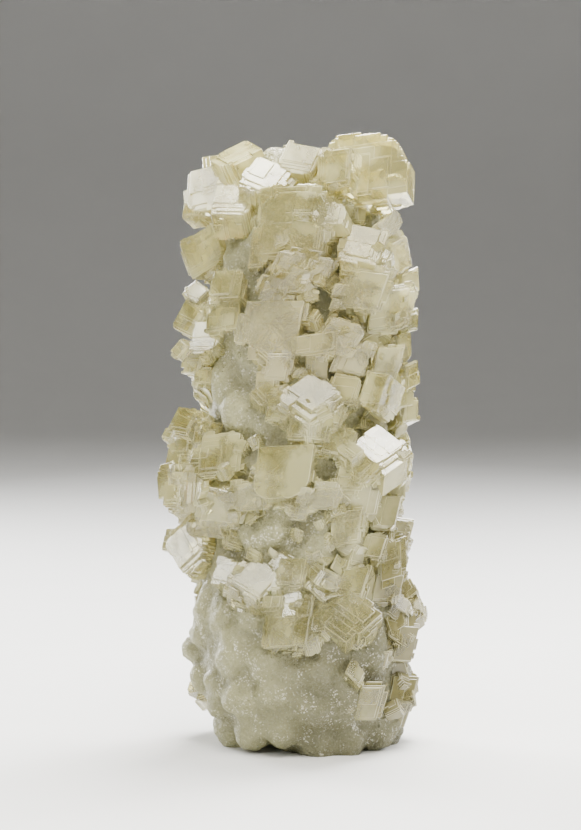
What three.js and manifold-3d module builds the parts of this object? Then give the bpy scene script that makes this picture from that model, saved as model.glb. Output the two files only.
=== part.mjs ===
// Calcite on a chalcedony stalactite, a hand-size mineral specimen about 150 mm tall.
// Millimetres. Up is +Z, the display side faces -Y, and the origin is the middle of the flat cut base.
// The lumpy stalactite is one solid. Calcite rhombs that have grown into one another are one solid each.

import * as THREE from "three";
import { mergeVertices } from "three/addons/utils/BufferGeometryUtils.js";
import Module from "manifold-3d";

const wasm = await Module();
wasm.setup();

// The three edges of a calcite cleavage rhomb meet at this angle at its blunt corner.
const EDGE_ANGLE = 101.9;

// The skin of the crystals stands off the stalactite by this much.
const SEAT_GAP = 0.4;

// Splinters smaller than this many cubic millimetres are left off.
const SMALLEST = 12;

// The core of the stalactite: height, then radius, from the base to the broken top.
const CORE_PROFILE = [
  [0, 15.5], [3, 19.2], [7, 22.4], [11, 23.8], [16, 24.6], [26, 25], [38, 23.5], [54, 21.8],
  [72, 21.2], [90, 20.8], [106, 20.4], [120, 19.2], [131, 16.5], [137.5, 11],
];
const CORE_LEAN = 5;
const LEAN_HEIGHT = 8;

// The skin is drawn closer on the display side: how many sides there are, the share of them
// on the front, and the part of the full turn that they cover there.
const SIDES = 36;
const FRONT_SHARE = 0.66;
const FRONT_TURN = 200;
const ROWS = [
  0, 3, 7, 11, 15, 19, 23, 27, 31, 35, 39.5, 44, 49, 54, 60, 66, 72, 78, 84, 90, 97, 104, 111, 118,
  124.5, 130, 134.5, 137.5,
];

// Lumps that show on the front: x, height, radius, and how far out of the core their middles sit.
const FRONT_LUMPS = [
  [-14.5, 81.5, 5.2, 1.2], [-18.5, 88.5, 4.8, 0.6], [-20.5, 75.5, 3.8, 0.4],
  [-16, 125.5, 4.8, 0.2], [-15.5, 116.5, 4.8, 0],
  [-22.5, 42.5, 3.8, 0.6], [-22.3, 37.5, 3.4, 0.5], [-6, 54, 5, 0.8],
  [4.5, 48.5, 4.6, 0.6], [-12, 33.5, 4.8, 0.2], [-19, 32, 4.8, 0.6],
  [-24, 27, 4.6, 0.6], [-27.4, 22.6, 2.3, 1.4], [-24.4, 16.5, 4.8, 0.9], [-16.5, 23.5, 5, 1],
  [-8, 22.5, 5, 1], [-21.5, 10.5, 4, 0.5], [-15, 13.5, 5.8, 1.4], [-6.5, 15, 5, 1.4],
  [-14.5, 6.5, 4.6, 0.8], [-6, 7.5, 4.8, 1.2], [1.5, 11.5, 5, 1.2], [0.5, 3.8, 4.4, 1],
  [4, 20, 5, 1], [9, 4, 4.6, 1], [10.5, 15.5, 4.8, 0.8],
  [17, 5, 4.6, 0.8], [21.5, 4.5, 4, 0.4], [17, 28, 4.4, 0.2],
];

// Broader lumps all round, set out on a spiral.
const SPIRAL_LUMPS = 110;
const SPIRAL_LUMP_RADIUS = [4.8, 6.8];
const SPIRAL_LUMP_OUT = [-1.1, -0.3];
const SPIRAL_TURN = 137.5;

// How much of a lump's radius is sunk in the core.
const LUMP_SINK = 0.52;

// Crystals. Each row: x and height of the middle of the main face, its distance from the axis,
// the edges a and b of that face, the edge c that goes inwards, where the face looks
// (degrees to the right, degrees up), its turn in its own plane, and the number of growth steps.
const CRYSTALS = {
  calcite_crown: [
    [-15.5, 142.8, 19, 6, 13, 7, -8, 65, 3, 1],
    [-22.8, 134.5, 24.5, 10, 10.5, 9, -18, 14, -37, 1],
    [-25, 130.5, 26, 5.5, 6, 6, -35, 0, -50, 0],
    [-16, 132, 25, 8, 9, 9, 5, 30, -52, 0],
    [-8, 137.5, 23, 8, 9, 10, 5, 25, -75, 0],
    [-0.3, 141.6, 20, 7, 8.5, 9, 0, 22, -62, 0],
    [15.8, 140, 24, 15.5, 17, 13, 4, 4, -43, 2],
    [7.5, 139, 25, 9, 8, 9, -5, 8, -43, 0],
    [20.6, 134, 23, 8, 9, 10, 16, -4, -43, 0],
    [7.4, 128.8, 27, 5.4, 5.4, 6, -5, 22, -48, 0],
    [1.6, 131.4, 27, 6, 6, 7, -5, 20, -52, 0],
  ],
  calcite_rosette: [
    [-2.5, 126, 26, 15, 15, 11, -3, -4, -47, 2],
    [-1, 113, 26.5, 13, 12, 9, 5, -14, -60, 1],
    [-7, 102, 26, 12.5, 13.5, 10, -6, -8, -50, 2],
    [3, 98, 26.5, 5, 11, 7, 2, -4, -42, 0],
    [9.5, 99.5, 27, 8.5, 9, 8, 8, -14, -70, 0],
    [14.5, 111, 28, 10, 10, 9, 8, -6, -58, 1],
    [15, 121.5, 27.5, 9, 9, 8, 12, 28, -64, 1],
    [21.5, 106, 27, 11, 11, 9, 20, -6, -43, 1],
    [21.5, 126, 26, 8, 4.5, 11, 35, 15, -100, 0],
    [23.5, 118.5, 26, 8, 8, 8, 38, 6, -30, 0],
    [26, 110.5, 27, 8.5, 8.5, 8, 42, 2, -36, 0],
    [27.4, 103, 28.4, 5.5, 5, 11, 60, 0, -46, 0],
    [25, 96.5, 26, 6.5, 6, 7, 48, 10, -48, 0],
  ],
  calcite_left_shoulder: [
    [-23.5, 119.2, 25.5, 9, 9.5, 9, -14, -4, -20, 1],
  ],
  calcite_left_edge: [
    [-17.6, 112.2, 25.5, 7, 7, 8, -8, 16, -47, 0],
    [-18.3, 105, 25.5, 8, 7.5, 8, 0, -2, -43, 0],
    [-25, 110, 26.5, 4.5, 4.5, 6, -20, 8, -86, 0],
    [-27, 103.5, 28, 8, 7, 9, -38, 6, -70, 0],
    [-28.5, 95.5, 29, 5, 5, 8, -40, -4, -88, 0],
    [-26, 92.5, 27, 5, 5, 6, -30, 0, -50, 0],
    [-23.5, 89.8, 25, 4, 4.5, 6, -20, 0, -46, 0],
    [-22.5, 99.5, 25.5, 7, 6.5, 8, -16, 10, -48, 0],
  ],
  calcite_right_upper: [
    [16.8, 87.2, 27.5, 8.5, 5.5, 10, -14, 6, -57, 0],
    [24.5, 87, 26, 10, 9, 9, 42, 2, -44, 1],
    [27, 81.5, 27.5, 6, 6, 7, 52, 6, -50, 0],
    [20.5, 92.5, 26, 9, 8, 8, 28, -6, -52, 1],
    [12, 94.5, 25.5, 8, 8, 8, 10, -12, -60, 0],
    [27.2, 90, 28.4, 6, 6, 10, 58, 4, -40, 0],
  ],
  calcite_middle: [
    [2.2, 86.5, 26.5, 10, 10, 9, 0, 34, -90, 1],
    [2, 80, 27, 8, 9, 8, 2, 8, -52, 0],
    [7.5, 81.5, 26.5, 5, 6, 7, 14, 10, -60, 0],
    [-4, 84, 25.5, 8, 8, 8, -10, 0, -50, 0],
    [9.5, 75.5, 25.5, 7, 7, 8, 10, 6, -64, 0],
    [10.5, 87.5, 26, 7, 7, 8, 12, 4, -58, 0],
    [-5.5, 92, 24.8, 8, 6, 8, -6, -14, -50, 0],
  ],
  calcite_diamond: [
    [18.3, 74, 28.5, 9.5, 9.5, 9, 2, 30, -92, 1],
    [23.2, 69, 28, 7, 7, 8, 24, 10, -70, 0],
    [14, 68.5, 27.5, 6, 6, 7, -10, 10, -84, 0],
    [11.5, 73.5, 27.5, 4, 5, 6, -8, 30, -88, 0],
  ],
  calcite_left_mid: [
    [-19, 72.3, 27.5, 9.5, 10, 9, -8, 8, -45, 1],
    [-27.5, 74, 29, 11, 10, 10, -34, 5, -50, 1],
    [-25.5, 79.5, 27, 5, 5, 6, -16, 34, -58, 0],
    [-28.5, 79, 30, 7, 7, 8, -34, 20, -58, 0],
    [-33, 64.5, 34, 8, 4, 9, -32, 0, -34, 0],
    [-31, 61, 32.5, 5.5, 4.5, 8, -24, 4, -48, 0],
    [-27.5, 63, 29.5, 10, 9, 9, -28, -8, -48, 1],
    [-19.5, 58, 27.5, 12, 11, 10, -8, -16, -58, 1],
    [-27, 57, 28.5, 6, 6, 7, -30, -10, -48, 0],
    [-12.5, 62, 26.5, 7, 7, 8, -6, -6, -44, 0],
  ],
  calcite_centre: [
    [-4.2, 68.2, 27.5, 12.5, 13, 10, 0, 4, -48, 2],
    [6, 62.5, 26.5, 7, 7, 8, 12, -8, -56, 0],
    [12, 66, 26, 7, 7, 8, 10, 0, -54, 0],
    [-0.5, 60.5, 25.5, 7, 6, 8, 0, -12, -60, 0],
  ],
  calcite_left_low: [
    [-27.5, 49.4, 30.5, 8.5, 8.5, 9, -18, 12, -6, 0],
    [-31, 50.2, 31.5, 5.5, 6, 11, -44, 6, -46, 0],
  ],
  calcite_left_cluster: [
    [-10.5, 43.8, 27.5, 9, 9, 9, 0, 30, -82, 1],
    [-17.5, 44, 26.5, 6, 6, 7, -18, 12, -58, 0],
    [-2, 45, 27, 7, 7, 8, 6, 22, -52, 0],
    [-12, 39, 26.5, 6.5, 6.5, 7, -6, 14, -66, 0],
  ],
  calcite_right_mid: [
    [10.5, 55, 27, 8, 7, 8, 2, 0, -44, 0],
    [20.5, 57.5, 26, 8.5, 7, 8, 30, 2, -56, 0],
    [23.5, 63, 26, 5, 5, 7, 38, 10, -48, 0],
    [22, 46, 27, 10, 8, 9, 26, 4, -38, 1],
    [17, 50.5, 26.5, 6, 6, 7, 14, 12, -60, 0],
    [11.5, 42.5, 27, 8, 8, 8, 2, 14, -58, 0],
    [15, 61.5, 26, 8, 8, 8, 16, -4, -50, 0],
    [24.5, 52.5, 26.5, 7, 7, 8, 40, 0, -60, 0],
    [5, 40, 26, 7, 7, 8, 8, 8, -50, 0],
  ],
  calcite_laminated: [
    [-2.8, 33, 28.5, 11.5, 10, 9, 0, 6, -48, 1],
    [-2, 37.5, 27.5, 6.5, 4.5, 7, 4, 18, -44, 0],
    [2.9, 33, 27.5, 5, 7, 6, 18, 6, -44, 0],
  ],
  calcite_diamond_low: [
    [12, 35.1, 30, 9.5, 9.5, 10, 3, 16, -88, 1],
    [13, 28.9, 27, 6, 6, 7, 8, -6, -84, 0],
  ],
  calcite_right_foot: [
    [25.3, 32.4, 27, 8, 7, 8, 44, 12, -46, 0],
    [24.5, 26.5, 28, 9.5, 9, 9, 38, 2, -58, 1],
    [19, 22.5, 27, 5, 5, 7, 16, -6, -52, 0],
    [26.5, 31.5, 28.5, 4.5, 5, 7, 56, 14, -54, 0],
    [20.5, 39.5, 26, 7, 8, 8, 24, 0, -52, 0],
  ],
  calcite_base_right: [
    [24.8, 14, 27.4, 8.5, 8, 9, 32, 8, -58, 0],
    [23.5, 9, 27, 6.5, 6.5, 8, 28, -6, -58, 0],
    [14.5, 13, 27, 9, 9, 7, 6, -12, -52, 1],
  ],
};

// Crystals over the back: rings of height, count and the angle of the first, in degrees.
const BACK_RINGS = [
  [15, 4, 22], [32, 4, 12], [49, 4, 28], [66, 4, 16], [83, 4, 28],
  [100, 4, 14], [116, 4, 28], [130, 5, 12],
];
const BACK_STEP = 42;
const BACK_EDGE = [9.5, 14];

// The back crystals go this deep, stand out between these, and vary by these in height,
// in the turn of their place and of their face, and in tilt.
const BACK_DEPTH = 9;
const BACK_STAND_OUT = [3, 5.5];
const BACK_HEIGHT_SPREAD = 8;
const BACK_TURN_SPREAD = 14;
const BACK_AIM_SPREAD = 24;
const BACK_TILT_SPREAD = 34;

// The top crystals look up by this much.
const TOP_TILT = 62;

// Growth steps: how far they stand out and are cut in at the ends, as shares of the edge,
// and how far they stay below the main face, as a share of the depth.
const STEP_OUT = [0.07, 0.16];
const STEP_CUT = [0.04, 0.26];
const STEP_DROP = [0.1, 0.26];

// Crystals over the top: angle, distance from the axis, height, edges a, b and c, and turn.
const TOP_CRYSTALS = [
  [0, 2, 143, 10, 11, 10, -40], [100, 9, 141, 9, 8, 9, 20], [170, 10, 140.5, 8, 9, 9, 80],
  [250, 8, 142, 7, 8, 9, 130], [45, 11, 140.5, 8, 9, 9, 100],
];

const RAD = Math.PI / 180;

// Numbers between 0 and 1 that follow from a seed, the same every time.
function numbers(seed) {
  let state = (seed * 7919 + 104729) % 233280;
  return () => {
    state = (state * 9301 + 49297) % 233280;
    return state / 233280;
  };
}

// A number between two limits.
function between([least, most], next) {
  return least + (most - least) * next();
}

// A closed solid from a three.js geometry.
function solid(geometry) {
  const plain = geometry.clone();
  plain.deleteAttribute("normal");
  plain.deleteAttribute("uv");
  const merged = mergeVertices(plain, 1e-5);
  return new wasm.Manifold(new wasm.Mesh({
    numProp: 3,
    vertProperties: new Float32Array(merged.attributes.position.array),
    triVerts: new Uint32Array(merged.index.array),
  }));
}

// A three.js mesh from a solid.
function meshOf(name, body, material) {
  const data = body.getMesh();
  const geometry = new THREE.BufferGeometry();
  geometry.setAttribute("position", new THREE.BufferAttribute(new Float32Array(data.vertProperties), 3));
  geometry.setIndex(new THREE.BufferAttribute(new Uint32Array(data.triVerts), 1));
  geometry.computeVertexNormals();
  const mesh = new THREE.Mesh(geometry, material);
  mesh.name = name;
  return mesh;
}

function union(bodies) {
  return bodies.reduce((whole, body) => whole.add(body));
}

// The radius of the core at a height.
function coreRadius(z) {
  const last = CORE_PROFILE.length - 1;
  for (let i = 0; i < last; i += 1) {
    const [z0, r0] = CORE_PROFILE[i];
    const [z1, r1] = CORE_PROFILE[i + 1];
    if (z <= z1) {
      return r0 + (r1 - r0) * Math.max(0, (z - z0) / (z1 - z0));
    }
  }
  return CORE_PROFILE[last][1];
}

// The core leans a little to the right near its foot.
function lean(z) {
  return CORE_LEAN * Math.exp(-z / LEAN_HEIGHT);
}

function frontLumps() {
  return FRONT_LUMPS.map(([x, z, radius, out]) => {
    const reach = coreRadius(z);
    return { turn: -Math.acos(Math.max(-1, Math.min(1, x / reach))), z, radius, out };
  });
}

function spiralLumps() {
  const next = numbers(11);
  const top = ROWS[ROWS.length - 1];
  return Array.from({ length: SPIRAL_LUMPS }, (_, i) => ({
    turn: i * SPIRAL_TURN * RAD,
    z: top * (i + 0.5) / SPIRAL_LUMPS,
    radius: between(SPIRAL_LUMP_RADIUS, next),
    out: between(SPIRAL_LUMP_OUT, next),
  }));
}

const LUMPS = [...frontLumps(), ...spiralLumps()];

// How far one lump stands out of the core at a place on its skin.
function lumpHeight(lump, turn, z, reach) {
  const gap = turn - lump.turn;
  const around = Math.atan2(Math.sin(gap), Math.cos(gap)) * reach;
  const away = Math.hypot(around, z - lump.z);
  if (away > lump.radius) {
    return 0;
  }
  return Math.sqrt(lump.radius ** 2 - away ** 2) - lump.radius * LUMP_SINK + lump.out;
}

// The distance of the stalactite's skin from its axis.
function skin(turn, z) {
  const swell = 1 + 0.02 * Math.sin(3 * turn + z * 0.11) + 0.015 * Math.sin(5 * turn - z * 0.07);
  const reach = coreRadius(z) * swell;
  return reach + Math.max(0, ...LUMPS.map((lump) => lumpHeight(lump, turn, z, reach)));
}

// A share of the sides, as the turn where that side stands.
function sideTurn(share) {
  const front = share < FRONT_SHARE;
  const degrees = front
    ? (share / FRONT_SHARE) * FRONT_TURN
    : FRONT_TURN + ((share - FRONT_SHARE) / (1 - FRONT_SHARE)) * (360 - FRONT_TURN);
  return (degrees - 90 - FRONT_TURN / 2) * RAD;
}

// The whole stalactite: a column drawn out to its skin, broken off flat at the base.
function stalactite(grow) {
  const count = ROWS.length - 1;
  const geometry = new THREE.CylinderGeometry(1, 1, count, SIDES, count, false);
  geometry.rotateX(Math.PI / 2);
  geometry.translate(0, 0, count / 2);
  const place = geometry.attributes.position;
  for (let i = 0; i < place.count; i += 1) {
    const row = Math.round(place.getZ(i));
    const z = ROWS[row];
    const share = Math.round(SIDES * Math.atan2(place.getY(i), place.getX(i)) / (2 * Math.PI)) / SIDES;
    const turn = sideTurn((share + 1) % 1);
    const middle = Math.hypot(place.getX(i), place.getY(i)) < 0.5;
    const reach = middle ? 0 : skin(turn, z) + grow;
    const lift = row === count ? grow : 0;
    place.setXYZ(i, Math.cos(turn) * reach + lean(z), Math.sin(turn) * reach, z + lift);
  }
  return solid(geometry);
}

// The three edge directions of a rhomb whose main face looks along (azimuth, elevation).
function edges(azimuth, elevation, spin) {
  const half = EDGE_ANGLE * RAD / 2;
  const back = Math.cos(EDGE_ANGLE * RAD) / Math.cos(half);
  const az = azimuth * RAD;
  const el = elevation * RAD;
  const face = new THREE.Vector3(Math.sin(az) * Math.cos(el), -Math.cos(az) * Math.cos(el), Math.sin(el));
  const level = new THREE.Vector3(Math.cos(az), Math.sin(az), 0);
  const across = level.applyAxisAngle(face, spin * RAD);
  const along = new THREE.Vector3().crossVectors(face, across);
  const flat = (u, v, w) => new THREE.Vector3()
    .addScaledVector(across, u).addScaledVector(along, v).addScaledVector(face, w);
  return [
    flat(Math.cos(half), -Math.sin(half), 0),
    flat(Math.cos(half), Math.sin(half), 0),
    flat(back, 0, Math.sqrt(1 - back * back)),
  ];
}

// A box in the crystal's own edge directions, from low to high along each.
function block(centre, directions, low, high) {
  const geometry = new THREE.BoxGeometry(1, 1, 1);
  const size = high.map((value, i) => value - low[i]);
  const matrix = new THREE.Matrix4().makeBasis(
    directions[0].clone().multiplyScalar(size[0]),
    directions[1].clone().multiplyScalar(size[1]),
    directions[2].clone().multiplyScalar(size[2]),
  );
  geometry.applyMatrix4(matrix);
  const middle = centre.clone();
  directions.forEach((direction, i) => middle.addScaledVector(direction, (low[i] + high[i]) / 2));
  geometry.translate(middle.x, middle.y, middle.z);
  return solid(geometry);
}

// A rhomb with growth steps: each step stands out past one side and stays below the main face.
function rhomb(centre, size, aim, steps, seed) {
  const directions = edges(...aim);
  const next = numbers(seed);
  const [a, b, c] = size;
  const blocks = [block(centre, directions, [-a / 2, -b / 2, -c], [a / 2, b / 2, 0])];
  const first = Math.floor(next() * 4);
  for (let i = 0; i < steps; i += 1) {
    const side = (first + i) % 4;
    const along = side % 2;
    const low = [-a / 2, -b / 2, -c];
    const high = [a / 2, b / 2, -c * between(STEP_DROP, next)];
    const out = size[along] * between(STEP_OUT, next);
    if (side < 2) {
      low[along] -= out;
    } else {
      high[along] += out;
    }
    low[1 - along] += size[1 - along] * between(STEP_CUT, next);
    high[1 - along] -= size[1 - along] * between(STEP_CUT, next);
    blocks.push(block(centre, directions, low, high));
  }
  return union(blocks);
}

// The middle of a crystal's main face, on the side of the axis that it looks to.
function faceMiddle(x, z, reach, azimuth) {
  const depth = Math.sqrt(Math.max(reach * reach - x * x, 0));
  return new THREE.Vector3(x, -Math.sign(Math.cos(azimuth * RAD)) * depth, z);
}

function crystal([x, z, reach, a, b, c, azimuth, elevation, spin, steps], seed) {
  return rhomb(faceMiddle(x, z, reach, azimuth), [a, b, c], [azimuth, elevation, spin], steps, seed);
}

// A crystal of the back, its place and shape from the seed.
function backCrystal(z, turn, seed) {
  const next = numbers(seed);
  const spread = (width) => (next() - 0.5) * width;
  const size = [between(BACK_EDGE, next), between(BACK_EDGE, next), BACK_DEPTH];
  const angle = (turn + spread(BACK_TURN_SPREAD)) * RAD;
  const reach = coreRadius(z) + between(BACK_STAND_OUT, next);
  const height = z + spread(BACK_HEIGHT_SPREAD);
  const centre = new THREE.Vector3(Math.cos(angle) * reach, Math.sin(angle) * reach, height);
  const aim = [angle / RAD + 90 + spread(BACK_AIM_SPREAD), spread(BACK_TILT_SPREAD) + 3, next() * 360];
  return rhomb(centre, size, aim, 0, seed + 1);
}

function backCrystals() {
  const all = [];
  BACK_RINGS.forEach(([z, count, first], ring) => {
    for (let i = 0; i < count; i += 1) {
      all.push(backCrystal(z, first + i * BACK_STEP, 500 + ring * 20 + i * 3));
    }
  });
  return all;
}

function topCrystals() {
  return TOP_CRYSTALS.map(([turn, reach, z, a, b, c, spin], i) => {
    const centre = new THREE.Vector3(Math.cos(turn * RAD) * reach, Math.sin(turn * RAD) * reach, z);
    return rhomb(centre, [a, b, c], [turn + 90, TOP_TILT, spin], 1, 900 + i);
  });
}

function material(name, color, roughness) {
  return new THREE.MeshStandardMaterial({ name, color, roughness, metalness: 0 });
}

const chalcedony = material("chalcedony", 0xb9b49c, 0.7);
const calcite = material("calcite", 0xd8ceae, 0.25);

// Each region's crystals less the stalactite. What has grown together is one body, under its first name.
function crystalBodies(regions, seat) {
  const bodies = [];
  for (const [name, crystals] of regions) {
    let count = 0;
    for (const piece of union(crystals).subtract(seat).decompose()) {
      if (piece.volume() < SMALLEST) {
        continue;
      }
      const touched = bodies.filter((other) => other.body.intersect(piece).volume() > 0);
      if (touched.length === 0) {
        count += 1;
        bodies.push({ name: count > 1 ? `${name}_${count}` : name, body: piece });
        continue;
      }
      touched[0].body = union([piece, ...touched.map((other) => other.body)]);
      for (const joined of touched.slice(1)) {
        bodies.splice(bodies.indexOf(joined), 1);
      }
    }
  }
  return bodies;
}

const regions = Object.entries(CRYSTALS).map(([name, rows], index) => [
  name, rows.map((row, i) => crystal(row, index * 40 + i * 3 + 1)),
]);
regions.push(["calcite_top", topCrystals()], ["calcite_back", backCrystals()]);

const group = new THREE.Group();
group.name = "calcite_specimen";
group.add(meshOf("chalcedony_stalactite", stalactite(0), chalcedony));
for (const { name, body } of crystalBodies(regions, stalactite(SEAT_GAP))) {
  group.add(meshOf(name, body, calcite));
}

export default group;
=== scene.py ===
"""Calcite rhombs on a lumpy chalcedony stalactite, dressed for rendering.

The crystals and the stalactite are modelled here over the plain solids of the same places.
Sizes in the tables are millimetres and angles are degrees; the scene itself is in metres.
"""

import math
import random

import bmesh
import bpy
from mathutils import Matrix, Vector


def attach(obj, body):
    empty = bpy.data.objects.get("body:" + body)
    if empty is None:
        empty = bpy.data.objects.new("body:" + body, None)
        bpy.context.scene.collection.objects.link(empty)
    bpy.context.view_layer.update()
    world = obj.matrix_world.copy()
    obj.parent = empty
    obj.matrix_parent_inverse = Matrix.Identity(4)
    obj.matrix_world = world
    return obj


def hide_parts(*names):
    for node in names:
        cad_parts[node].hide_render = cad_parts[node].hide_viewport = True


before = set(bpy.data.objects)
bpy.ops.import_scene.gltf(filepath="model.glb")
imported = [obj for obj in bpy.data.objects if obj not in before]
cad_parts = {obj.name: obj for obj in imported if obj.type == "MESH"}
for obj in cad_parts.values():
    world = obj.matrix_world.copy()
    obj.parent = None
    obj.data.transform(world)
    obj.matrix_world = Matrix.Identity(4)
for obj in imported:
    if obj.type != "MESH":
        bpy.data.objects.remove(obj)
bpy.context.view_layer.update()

bl_info = {
    "name": "Calcite specimen",
    "version": (1, 0, 0),
    "blender": (4, 5, 0),
    "location": "3D View > Sidebar > Specimen",
    "description": "Builds a calcite and chalcedony specimen over its plain solids",
    "category": "Object",
}

MM = 0.001

# The three edges of a calcite cleavage rhomb meet at this angle at its blunt corner.
EDGE_ANGLE = math.radians(101.9)

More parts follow.
